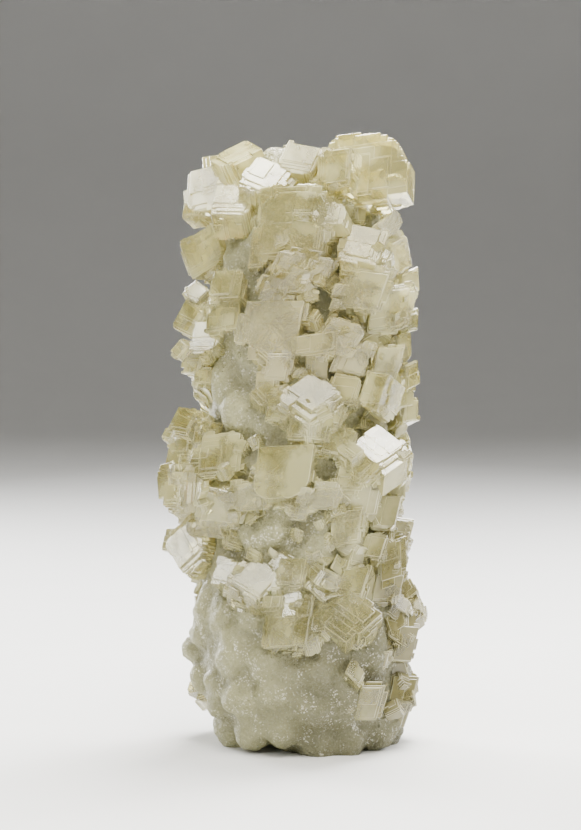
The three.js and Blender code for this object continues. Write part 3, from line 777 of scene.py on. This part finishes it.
def back_crystal(z, turn, seed, models):
    """A crystal of the back, near this height and turn."""
    following = numbers(seed)

    def spread(width):
        return (following() - 0.5) * width

    size = (between(BACK_EDGE, following), between(BACK_EDGE, following), BACK_DEPTH)
    angle = math.radians(turn + spread(BACK_TURN_SPREAD))
    reach = core_radius(z) + between(BACK_STAND_OUT, following)
    height = z + spread(BACK_HEIGHT_SPREAD)
    centre = Vector((math.cos(angle) * reach, math.sin(angle) * reach, height))
    looks = math.degrees(angle) + 90 + spread(BACK_AIM_SPREAD)
    aim = (looks, spread(BACK_TILT_SPREAD) + BACK_TILT, following() * 360)
    return crystal(centre, size, aim, 0, seed + 1, {}, models)


def top_crystal(row, seed, models):
    """A crystal of the TOP_CRYSTALS table."""
    turn, reach, z, a, b, c, spin = row
    angle = math.radians(turn)
    centre = Vector((math.cos(angle) * reach, math.sin(angle) * reach, z))
    return crystal(centre, (a, b, c), (turn + 90, TOP_TILT, spin), 1, seed, {}, models)


def all_crystals(models):
    """Every crystal with the solid that it belongs to."""
    for index, (region, rows) in enumerate(CRYSTALS.items()):
        for place, row in enumerate(rows):
            node = NODE_EXCEPTIONS.get((region, place), REGION_NODES.get(region, MAIN_NODE))
            yield node, front_crystal(region, place, row, index, models)
    for i, row in enumerate(TOP_CRYSTALS):
        yield TOP_NODE, top_crystal(row, TOP_SEED + i, models)
    number = 0
    for ring, (z, count, first) in enumerate(BACK_RINGS):
        for i in range(count):
            seed = BACK_SEED + ring * RING_SEEDS + i * PLACE_SEEDS
            made = back_crystal(z, first + i * BACK_STEP, seed, models)
            yield "calcite_" + BACK_NODES[number], made
            number += 1


def finish_piece(item, name, slot, *nodes):
    """Names a finished piece, puts it under the root body and hides the plain solids it replaces.
    """
    if not item.data.polygons:
        raise RuntimeError(f"{name} has no faces")
    pick(item)
    item.name = name
    item.data.name = name
    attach(item, "root")
    if nodes:
        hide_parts(*nodes)
    deselect()


# Small crystals


def bare(x, y, z):
    """Whether this place on the skin shows no calcite in the photograph."""
    if y > 4:
        return z < 30
    if x < -9 and z > 76:
        return True
    if z < 22:
        return x < 12
    if z < 40:
        return x < -6 or z < 26
    return x < -15 and z < 50


def small_model(chance):
    """A small crystal of unit edge."""
    corner, share, drop = (1, 1), chance.uniform(*MODEL_SHARE), TERRACE_DROP
    corners = list(stepped_corner(MODEL_SIZE, corner, share, drop, False, MODEL_CUTS, chance))
    corners += terraces(MODEL_SIZE, corner, share, drop, MODEL_CUTS, chance)
    for low, high in teeth(MODEL_SIZE, corner, share, MODEL_TEETH, chance):
        for k in range(2):
            low[k], high[k] = max(low[k], -MODEL_REACH), min(high[k], MODEL_REACH)
        corners.append((low, high))
    return grow_together(blocks(corners, MODEL_EDGE))


def small_models():
    chance = random.Random(MODEL_SEED)
    return [small_model(chance) for _ in range(MODELS)]


def small_crystals(models):
    """The crust of small crystals, strewn over the column except where it is bare."""
    chance = random.Random(SMALL_SEED)
    made = []
    number = 0
    while number < SMALL_COUNT:
        turn = chance.uniform(0, 2 * math.pi)
        z = chance.uniform(*SMALL_HEIGHTS)
        reach = core_radius(z) + SMALL_ROOT
        place = Vector((math.cos(turn) * reach + lean(z), math.sin(turn) * reach, z))
        edge = between(SMALL_EDGE, chance.random)
        looks = math.degrees(turn) + 90 + chance.gauss(0, SMALL_SPREAD)
        aim = (looks, chance.gauss(SMALL_TILT, SMALL_SPREAD), chance.uniform(0, 360))
        if bare(*place):
            continue
        item = copy_of(models[number % len(models)])
        number += 1
        settle(item, scale=(edge, edge * chance.uniform(*SMALL_STRETCH), edge))
        out = chance.uniform(*SMALL_STAND_OUT)
        seat_in_lattice(item, place + Vector((math.cos(turn), math.sin(turn), 0)) * out, aim)
        made.append(item)
        if number % BATCH == 0:
            made[-BATCH:] = [grow_together(made[-BATCH:])]
    return grow_together(made)


# The stalactite


def lumps():
    """Middle and radius of every lump."""
    for x, z, radius, out in FRONT_LUMPS:
        reach = core_radius(z)
        turn = -math.acos(max(-1, min(1, x / reach)))
        yield turn, z, radius, out
    following = numbers(SPIRAL_SEED)
    for i in range(SPIRAL_LUMPS):
        z = SPIRAL_TOP * (i + 0.5) / SPIRAL_LUMPS
        radius = between(SPIRAL_LUMP_RADIUS, following)
        yield math.radians(i * SPIRAL_TURN), z, radius, between(SPIRAL_LUMP_OUT, following)


def core():
    """The plain column, drawn up ring by ring from its base."""
    deselect()
    bpy.ops.mesh.primitive_circle_add(
        vertices=CORE_SIDES, radius=CORE_PROFILE[0][1] * MM, fill_type="NGON",
        location=(lean(0) * MM, 0, 0),
    )
    bpy.ops.object.transform_apply(location=True, rotation=True, scale=True)
    bpy.ops.object.mode_set(mode="EDIT")
    bpy.ops.mesh.select_all(action="SELECT")
    for (z0, r0), (z1, r1) in zip(CORE_PROFILE, CORE_PROFILE[1:]):
        move = ((lean(z1) - lean(z0)) * MM, 0, (z1 - z0) * MM)
        bpy.ops.mesh.extrude_region_move(TRANSFORM_OT_translate={"value": move})
        bpy.ops.transform.resize(value=(r1 / r0, r1 / r0, 1))
    bpy.ops.mesh.select_all(action="SELECT")
    bpy.ops.mesh.normals_make_consistent(inside=False)
    bpy.ops.object.mode_set(mode="OBJECT")
    return bpy.context.object


def lump(turn, z, radius, out, height):
    """One rounded lump, half sunk in the core."""
    reach = core_radius(z) + out - radius * LUMP_SINK
    place = (math.cos(turn) * reach + lean(z), math.sin(turn) * reach, z)
    deselect()
    bpy.ops.mesh.primitive_ico_sphere_add(
        subdivisions=3, radius=radius * MM, location=Vector(place) * MM, scale=(1, 1, height)
    )
    bpy.ops.object.transform_apply(location=True, rotation=True, scale=True)
    return bpy.context.object


def relief(item, name, size, depth):
    """Raises and sinks the surface by a cloudy pattern."""
    clouds = bpy.data.textures.new(name, "CLOUDS")
    clouds.noise_scale = size * MM
    clouds.noise_depth = 2
    apply_modifier(
        item, name, "DISPLACE",
        texture=clouds, strength=depth * MM, mid_level=0.5, texture_coords="LOCAL",
    )


def stalactite():
    """The column with its lumps under one knobbly skin, cut flat at the base."""
    chance = random.Random(LUMP_SEED)
    whole = join([core()] + [lump(*row, chance.uniform(*LUMP_HEIGHT)) for row in lumps()])
    apply_modifier(
        whole, "one skin", "REMESH", mode="VOXEL", voxel_size=SKIN_GRID * MM, adaptivity=0
    )
    apply_modifier(whole, "soften", "SMOOTH", factor=0.5, iterations=SKIN_SMOOTHING)
    for name, (size, depth) in SKIN_RELIEF.items():
        relief(whole, name, size, depth)
    bpy.ops.object.mode_set(mode="EDIT")
    bpy.ops.mesh.select_all(action="SELECT")
    bpy.ops.mesh.bisect(
        plane_co=(0, 0, 0), plane_no=(0, 0, 1), use_fill=True, clear_inner=True, threshold=MERGE
    )
    bpy.ops.mesh.select_all(action="SELECT")
    bpy.ops.mesh.remove_doubles(threshold=MERGE)
    bpy.ops.mesh.normals_make_consistent(inside=False)
    bpy.ops.object.mode_set(mode="OBJECT")
    pick(whole)
    bpy.ops.object.shade_smooth_by_angle(angle=math.radians(SKIN_SMOOTH_ANGLE))
    return whole


# Materials


class Value:
    """A node's output socket that can be used in arithmetic."""

    def __init__(self, graph, socket):
        self.graph = graph
        self.socket = socket

    def __add__(self, other):
        return self.graph.math("ADD", self, other)

    __radd__ = __add__

    def __mul__(self, other):
        return self.graph.math("MULTIPLY", self, other)

    __rmul__ = __mul__

    def __sub__(self, other):
        return self.graph.math("SUBTRACT", self, other)

    def __rsub__(self, other):
        return self.graph.math("SUBTRACT", other, self)

    def __pow__(self, other):
        return self.graph.math("POWER", self, other)

    def steep(self, low, high):
        """0 below low, 1 above high, and smooth between."""
        made = self.graph.node("ShaderNodeMapRange", {"interpolation_type": "SMOOTHSTEP"}, {
            "Value": self, "From Min": low, "From Max": high, "To Min": 0.0, "To Max": 1.0,
        })
        return Value(self.graph, made.outputs[0])


class Graph:
    """The node tree of one material."""

    def __init__(self, name):
        self.material = bpy.data.materials.new(name)
        self.material.use_nodes = True
        self.tree = self.material.node_tree
        self.tree.nodes.clear()
        self.place = self.output(self.node("ShaderNodeTexCoord"), "Object")

    def node(self, kind, settings=None, values=None):
        made = self.tree.nodes.new(kind)
        for key, value in (settings or {}).items():
            setattr(made, key, value)
        for key, value in (values or {}).items():
            self.fill(made.inputs[key], value)
        return made

    def fill(self, socket, value):
        if isinstance(value, Value):
            self.tree.links.new(value.socket, socket)
        else:
            socket.default_value = value

    def output(self, made, name=0):
        return Value(self, made.outputs[name])

    def math(self, operation, *terms):
        made = self.node("ShaderNodeMath", {"operation": operation}, dict(enumerate(terms)))
        return self.output(made)

    def axes(self):
        made = self.node("ShaderNodeSeparateXYZ", None, {0: self.place})
        return [self.output(made, k) for k in range(3)]

    def noise(self, size, detail=3.0, rough=0.5):
        """Cloudy values about 0.5, with spots of this size in millimetres."""
        made = self.node("ShaderNodeTexNoise", None, {
            "Vector": self.place, "Scale": 1 / (size * MM), "Detail": detail, "Roughness": rough,
        })
        return self.output(made)

    def cells(self, size, output="Distance"):
        made = self.node("ShaderNodeTexVoronoi", None, {
            "Vector": self.place, "Scale": 1 / (size * MM),
        })
        return self.output(made, output)

    def attribute(self, name):
        made = self.node("ShaderNodeAttribute", {"attribute_name": name})
        return self.output(made, "Fac")

    def mix(self, share, first, second):
        made = self.node("ShaderNodeMix", {"data_type": "RGBA"})
        self.fill(made.inputs[0], share)
        self.fill(made.inputs[6], first)
        self.fill(made.inputs[7], second)
        return self.output(made, 2)

    def bump(self, height, depth, strength):
        values = {"Height": height, "Distance": depth * MM, "Strength": strength}
        return self.output(self.node("ShaderNodeBump", None, values))

    def principled(self, values):
        return self.output(self.node("ShaderNodeBsdfPrincipled", None, values))

    def finish(self, surface, volume=None):
        made = self.node("ShaderNodeOutputMaterial", None, {"Surface": surface})
        if volume:
            self.fill(made.inputs["Volume"], volume)
        return self.material


def colour(red, green, blue):
    return (red, green, blue, 1.0)


def calcite_material(name, settings, cloudy, tint_share):
    """Clear crystal with clouded patches; edges more clouded and painted whiter as a highlight."""
    graph = Graph(name)
    x, y, z = graph.axes()
    radial = (x * x + y * y) ** 0.5
    outer = radial.steep(22 * MM, 30 * MM)
    clouds = graph.noise(8, 4.0, 0.5).steep(0.4, 0.62)
    # Painted shade: low on the right the calcite is mixed towards a dark olive colour.
    olive_shade = (x.steep(7 * MM, 22 * MM) * (1 - z.steep(32 * MM, 100 * MM))) * 0.9
    honey = graph.mix(clouds, colour(*settings.honey), colour(*settings.milk))
    # Painted shade: the calcite is darkened towards the bottom with the same dark olive colour.
    low_shade = (1 - z.steep(20 * MM, 95 * MM)) * 0.2
    tint = graph.mix(graph.math("MAXIMUM", olive_shade, low_shade), honey, colour(*settings.olive_shade))
    height = z.steep(80 * MM, 92 * MM) * (1 - z.steep(118 * MM, 130 * MM))
    inner = 1 - graph.math("ABSOLUTE", x).steep(9 * MM, 21 * MM)
    warm = graph.mix(height * inner * 0.7, tint, colour(*settings.warm))
    # Painted highlight: where tint_share is below 1, the colour is mixed towards the pale edge
    # colour.
    shade = graph.mix(tint_share, colour(*settings.edge), warm)
    skin = graph.bump(graph.noise(1.4, 2.0, 0.5), 0.015, 0.2)
    gloss = 0.06 + graph.noise(3.2, 3.0, 0.6).steep(0.4, 0.75) * 0.14
    milky = graph.principled({
        "Base Color": shade, "Roughness": gloss + 0.05, "IOR": CALCITE_IOR, "Normal": skin,
        "Subsurface Weight": 0.2, "Subsurface Radius": (1.0, 0.9, 0.6),
        "Subsurface Scale": 0.7 * MM,
    })
    clear = graph.principled({
        "Base Color": colour(1, 1, 1), "Roughness": gloss, "IOR": CALCITE_IOR, "Normal": skin,
        "Transmission Weight": 1.0,
    })
    # The painted shade low on the right also makes the calcite more clouded there, so that less
    # light comes through it.
    milkiness = (cloudy - outer * 0.14) + clouds * 0.16 + olive_shade * 0.45
    made = graph.node("ShaderNodeMixShader", None, {0: milkiness})
    graph.fill(made.inputs[1], clear)
    graph.fill(made.inputs[2], milky)
    absorb = graph.node("ShaderNodeVolumeAbsorption", None, {
        "Color": colour(0.95, 0.91, 0.55), "Density": CALCITE_ABSORPTION,
    })
    return graph.finish(graph.output(made), graph.output(absorb))


def chalcedony_material(settings):
    """Grey-green druse, paler on the crests of the lumps, with glinting grains.

    The grains glint by their gloss and are also painted pale as glints. The hollows, the
    bottom and the lower right have painted shade.
    """
    graph = Graph("chalcedony druse")
    x, _, z = graph.axes()
    # Painted shade: low on the right the druse keeps the darker grey instead of its paler crest
    # colour.
    low_right_shade = x.steep(-8 * MM, 5 * MM) * (1 - z.steep(35 * MM, 50 * MM)) * 0.85
    broad = graph.noise(11, 4.0, 0.6).steep(0.36, 0.66)
    mottled = graph.noise(2.2, 4.0, 0.6).steep(0.35, 0.7)
    proud = graph.attribute("proud")
    grey = graph.mix(broad, colour(*settings.grey), colour(*settings.green))
    pale = graph.mix(proud * 0.7 + mottled * 0.3, grey, colour(*settings.white))
    hollow = (1 - proud).steep(0.45, 1.0) * 0.5
    # Painted shade: towards the bottom, and more so on the right, the colour is mixed towards a
    # dark brown.
    low = (1 - z.steep(15 * MM, 80 * MM)) * (0.12 + x.steep(-20 * MM, 10 * MM) * 0.42)
    tint = graph.mix(hollow, graph.mix(low_right_shade, pale, grey), colour(*settings.shadow))
    tint = graph.mix(low, tint, colour(0.07, 0.066, 0.03))
    sugar = graph.cells(0.8)
    grains = graph.cells(0.42)
    skin = graph.bump(sugar * 0.5 + grains * 0.25 + graph.noise(1.3, 4.0, 0.65) * 0.4, 0.4, 0.8)
    split = graph.node("ShaderNodeSeparateColor", None, {0: graph.cells(SUGAR_GRAIN, "Color")})
    patches = graph.noise(4.5, 4.0, 0.6).steep(0.46, 0.6)
    gloss_and_glint = graph.output(split, 0).steep(0.78, 0.9) * (patches * 0.7 + 0.1)
    tilted = graph.node("ShaderNodeVectorMath", {"operation": "SUBTRACT"}, {
        0: graph.cells(SUGAR_GRAIN, "Color"), 1: (0.5, 0.5, 0.5),
    })
    normal = graph.node("ShaderNodeVectorMath", {"operation": "MULTIPLY_ADD"}, {
        0: graph.output(tilted), 1: (0.9, 0.9, 0.9), 2: skin,
    })
    even = graph.node("ShaderNodeVectorMath", {"operation": "NORMALIZE"}, {0: graph.output(normal)})
    surface = graph.principled({
        # Painted glints: the glossy grains are also mixed towards near white in the base colour.
        "Base Color": graph.mix(gloss_and_glint * 0.5, tint, colour(0.93, 0.9, 0.76)),
        "Roughness": 0.55 - gloss_and_glint * 0.45, "IOR": CHALCEDONY_IOR,
        "Normal": graph.output(even), "Coat Weight": gloss_and_glint, "Coat Roughness": 0.05,
        "Subsurface Weight": 0.25, "Subsurface Radius": (1.0, 0.9, 0.7),
        "Subsurface Scale": 0.8 * MM,
    })
    return graph.finish(surface)


def mark_proud(item):
    """Stores how far each point of the skin stands out of the core, from 0 to 1."""
    values = []
    for vertex in item.data.vertices:
        x, y, z = vertex.co / MM
        out = math.hypot(x - lean(z), y) - core_radius(z)
        values.append(max(0, min(1, (out - HOLLOW_AT) / CREST_ABOVE)))
    attribute = item.data.attributes.new("proud", "FLOAT", "POINT")
    attribute.data.foreach_set("value", values)


# The add-on


class SpecimenSettings(bpy.types.PropertyGroup):
    honey: bpy.props.FloatVectorProperty(
        name="Honey", description="Colour of the clearer calcite", subtype="COLOR", size=3,
        min=0, max=1, default=(0.64, 0.59, 0.24),
    )
    milk: bpy.props.FloatVectorProperty(
        name="Milk", description="Colour of the clouded calcite", subtype="COLOR", size=3,
        min=0, max=1, default=(0.84, 0.8, 0.42),
    )
    warm: bpy.props.FloatVectorProperty(
        name="Warm", description="Colour of the calcite high in the middle",
        subtype="COLOR", size=3, min=0, max=1, default=(0.56, 0.48, 0.19),
    )
    # Painted highlight colour for the bevelled edges.
    edge: bpy.props.FloatVectorProperty(
        name="Edge", description="Colour of the bright edges of the calcite",
        subtype="COLOR", size=3, min=0, max=1, default=(0.95, 0.93, 0.68),
    )
    # Painted shade colour for the calcite low down and low on the right.
    olive_shade: bpy.props.FloatVectorProperty(
        name="Olive", description="Colour of the calcite low on the right", subtype="COLOR", size=3,
        min=0, max=1, default=(0.15, 0.13, 0.05),
    )
    grey: bpy.props.FloatVectorProperty(
        name="Grey", description="Main colour of the stalactite", subtype="COLOR", size=3,
        min=0, max=1, default=(0.19, 0.18, 0.09),
    )
    green: bpy.props.FloatVectorProperty(
        name="Green", description="Greener patches of the stalactite", subtype="COLOR", size=3,
        min=0, max=1, default=(0.18, 0.175, 0.09),
    )
    white: bpy.props.FloatVectorProperty(
        name="White", description="Druse on the crests of the lumps", subtype="COLOR", size=3,
        min=0, max=1, default=(0.34, 0.33, 0.17),
    )
    shadow: bpy.props.FloatVectorProperty(
        name="Shadow", description="Colour in the gaps between the lumps", subtype="COLOR", size=3,
        min=0, max=1, default=(0.19, 0.18, 0.09),
    )


class SPECIMEN_OT_crystals(bpy.types.Operator):
    """Grow the calcite rhombs, one piece for each solid"""

    bl_idname = "specimen.crystals"
    bl_label = "Calcite crystals"

    def execute(self, context):
        settings = context.scene.specimen
        calcite_material(CALCITE[0], settings, cloudy=0.3, tint_share=1.0)
        # The edges take part of the painted highlight colour.
        calcite_material(CALCITE[1], settings, cloudy=0.48, tint_share=0.72)
        models = small_models()
        grown = {}
        for node, item in all_crystals(models):
            grown.setdefault(node, []).append(item)
        discard(models)
        for node, items in grown.items():
            piece = grow_together(items)
            finish_piece(piece, node + "_grown", "calcite", node)
        return {"FINISHED"}


class SPECIMEN_OT_small_crystals(bpy.types.Operator):
    """Grow the crust of small calcite rhombs between the large ones"""

    bl_idname = "specimen.small_crystals"
    bl_label = "Small calcite crystals"

    def execute(self, context):
        models = small_models()
        crust = small_crystals(models)
        discard(models)
        finish_piece(crust, "calcite_crust", "calcite")
        return {"FINISHED"}


class SPECIMEN_OT_stalactite(bpy.types.Operator):
    """Build the lumpy stalactite that carries the crystals"""

    bl_idname = "specimen.stalactite"
    bl_label = "Stalactite"

    def execute(self, context):
        whole = stalactite()
        mark_proud(whole)
        whole.data.materials.append(chalcedony_material(context.scene.specimen))
        finish_piece(whole, "stalactite_skin", "chalcedony", "chalcedony_stalactite")
        return {"FINISHED"}


class SPECIMEN_OT_stage(bpy.types.Operator):
    """Set up the floor, the lights and the camera"""

    bl_idname = "specimen.stage"
    bl_label = "Stage"

    def execute(self, context):
        floor()
        lights()
        camera()
        if context.scene.camera is None:
            raise RuntimeError("the stage has no camera")
        return {"FINISHED"}


class SPECIMEN_PT_panel(bpy.types.Panel):
    """The specimen's pieces and colours"""

    bl_idname = "SPECIMEN_PT_panel"
    bl_label = "Calcite specimen"
    bl_space_type = "VIEW_3D"
    bl_region_type = "UI"
    bl_category = "Specimen"

    def draw(self, context):
        column = self.layout.column()
        for name in SpecimenSettings.__annotations__:
            column.prop(context.scene.specimen, name)
        for operator in OPERATORS:
            column.operator(operator.bl_idname)


OPERATORS = (
    SPECIMEN_OT_crystals, SPECIMEN_OT_small_crystals, SPECIMEN_OT_stalactite, SPECIMEN_OT_stage,
)


def pick_edges(sheet, wanted):
    """Selects the edges of a mesh in edit mode whose two ends are where they are wanted."""
    mesh = bmesh.from_edit_mesh(sheet.data)
    bpy.ops.mesh.select_all(action="DESELECT")
    for edge in mesh.edges:
        if all(wanted(vertex.co) for vertex in edge.verts):
            edge.select_set(True)
    bmesh.update_edit_mesh(sheet.data)


def floor():
    """A pale floor that sweeps up behind the specimen."""
    graph = Graph("pale floor")
    surface = graph.principled({
        "Base Color": graph.mix(graph.noise(FLOOR_SPOTS), *(colour(*tone) for tone in FLOOR_TONES)),
        "Roughness": 0.7,
    })
    material = graph.finish(surface)
    deselect()
    bpy.ops.mesh.primitive_plane_add(size=FLOOR_SIZE, location=(0, FLOOR_BACK, 0))
    sheet = bpy.context.object
    bpy.ops.object.transform_apply(location=True, rotation=True, scale=True)
    bpy.ops.object.mode_set(mode="EDIT")
    bpy.ops.mesh.select_mode(type="EDGE")
    pick_edges(sheet, lambda point: point.y > FLOOR_BACK)
    bpy.ops.mesh.extrude_region_move(TRANSFORM_OT_translate={"value": (0, 0, FLOOR_RISE)})
    pick_edges(sheet, lambda point: point.y > FLOOR_BACK and point.z < FLOOR_RISE / 2)
    bpy.ops.mesh.bevel(offset=FLOOR_SWEEP, segments=16, affect="EDGES")
    bpy.ops.object.mode_set(mode="OBJECT")
    bpy.ops.object.shade_smooth()
    sheet.name = "floor"
    sheet.data.materials.append(material)


def area_light(name, turn, height, distance, size, power, tint):
    """A soft light aimed at the specimen, turned to the right of the camera and raised."""
    turn, height = math.radians(turn), math.radians(height)
    direction = Vector((
        math.sin(turn) * math.cos(height), -math.cos(turn) * math.cos(height), math.sin(height)
    ))
    deselect()
    bpy.ops.object.light_add(type="AREA", location=direction * distance + Vector(VIEW_TARGET) * MM)
    light = bpy.context.object
    light.name = name
    light.data.shape = "RECTANGLE"
    light.data.size, light.data.size_y = size
    light.data.energy = power
    light.data.color = tint
    light.rotation_mode = "QUATERNION"
    light.rotation_quaternion = (-direction).to_track_quat("-Z", "Y")


def lights():
    world = bpy.data.worlds.new("studio")
    bpy.context.scene.world = world
    world.use_nodes = True
    background = world.node_tree.nodes["Background"]
    background.inputs["Color"].default_value = WORLD_TINT
    background.inputs["Strength"].default_value = WORLD_STRENGTH
    for name, row in LIGHTS.items():
        area_light(name, *row)


def camera():
    down = math.radians(VIEW_DOWN)
    ahead = Vector((0, math.cos(down), -math.sin(down)))
    target = Vector(VIEW_TARGET) * MM
    deselect()
    bpy.ops.object.camera_add(location=target - ahead * VIEW_DISTANCE * MM)
    made = bpy.context.object
    made.name = "view"
    made.rotation_mode = "QUATERNION"
    made.rotation_quaternion = ahead.to_track_quat("-Z", "Y")
    made.data.lens = VIEW_LENS
    made.data.sensor_width = VIEW_SENSOR
    made.data.clip_start, made.data.clip_end = VIEW_CLIP
    bpy.context.scene.camera = made


CLASSES = (SpecimenSettings,) + OPERATORS + (SPECIMEN_PT_panel,)


def register():
    for item in CLASSES:
        bpy.utils.register_class(item)
    bpy.types.Scene.specimen = bpy.props.PointerProperty(type=SpecimenSettings)


def unregister():
    del bpy.types.Scene.specimen
    for item in reversed(CLASSES):
        bpy.utils.unregister_class(item)


def main():
    register()
    bpy.ops.specimen.crystals()
    bpy.ops.specimen.small_crystals()
    bpy.ops.specimen.stalactite()
    bpy.ops.specimen.stage()


if __name__ == "__main__":
    main()
